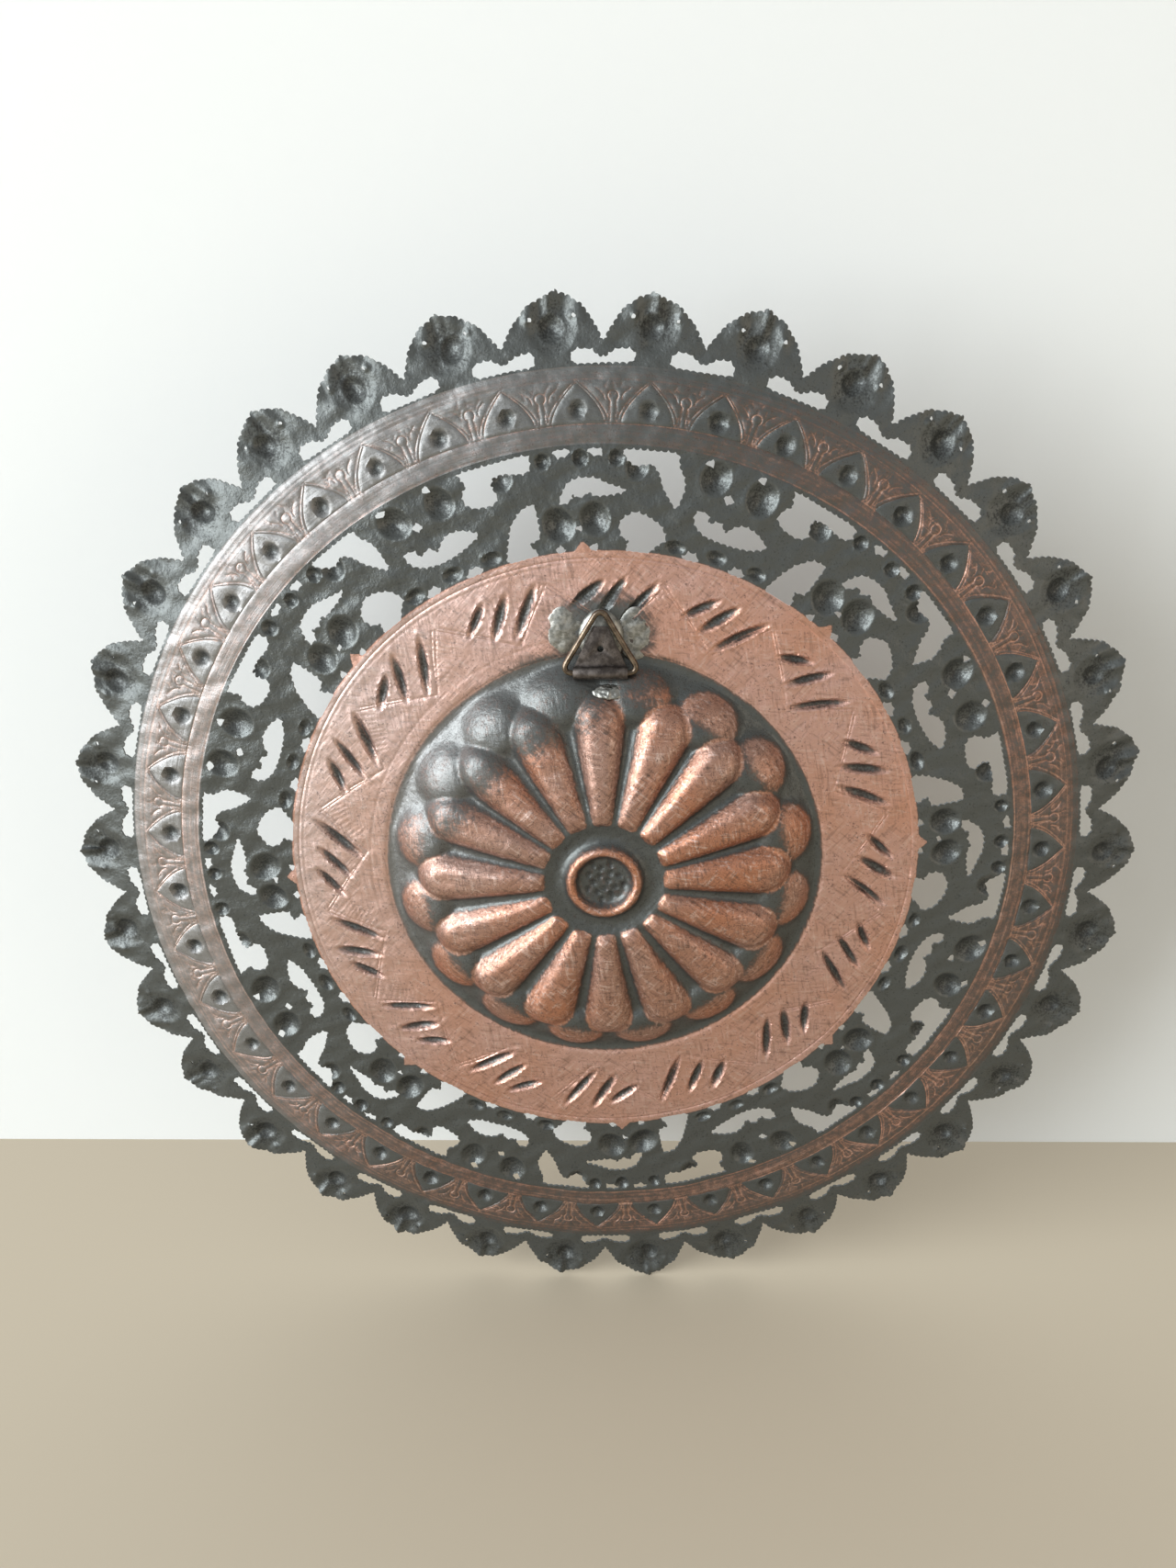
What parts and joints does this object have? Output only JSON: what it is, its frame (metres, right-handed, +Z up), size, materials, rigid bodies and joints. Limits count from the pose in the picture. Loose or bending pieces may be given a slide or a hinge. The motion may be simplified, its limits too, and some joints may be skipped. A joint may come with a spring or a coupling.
{
  "type": "pierced copper wall tray",
  "caption": "Round scalloped copper wall tray, embossed with a gadrooned rosette, pierced gallery and bossed band, with a small triangular wire hanger soldered to its back.",
  "frame": {"origin": "centre of the whole tray's bounding box, on the tray's round axis", "axes": "+Z up, from the tray's centre towards its hanger; -Y out of the tray's back, where the hanger is; +X to the right as seen from the back"},
  "size_m": [0.33, 0.0281, 0.3286],
  "materials": {
    "copper_sheet": "aged copper, rubbed bright on the base and crests, grey-green patina on the border and gallery",
    "hanger_bronze": "dark antique bronze plating, worn bright on its edges",
    "solder": "dull grey soft solder, smeared"
  },
  "bodies": {
    "tray": {"tray_body": "copper_sheet", "hanger_strap": "hanger_bronze", "solder_bed": "solder", "solder_left_dab": "solder", "solder_right_dab": "solder", "solder_lower_dab": "solder"},
    "ring": {"hanger_ring": "hanger_bronze"}
  },
  "joints": [
    {"name": "ring_hinge", "type": "hinge", "parent": "tray", "child": "ring", "pos_m": [-0.001, -0.0026, 0.0615], "axis": [1, 0, 0], "range_deg": [-3, 145]}
  ]
}
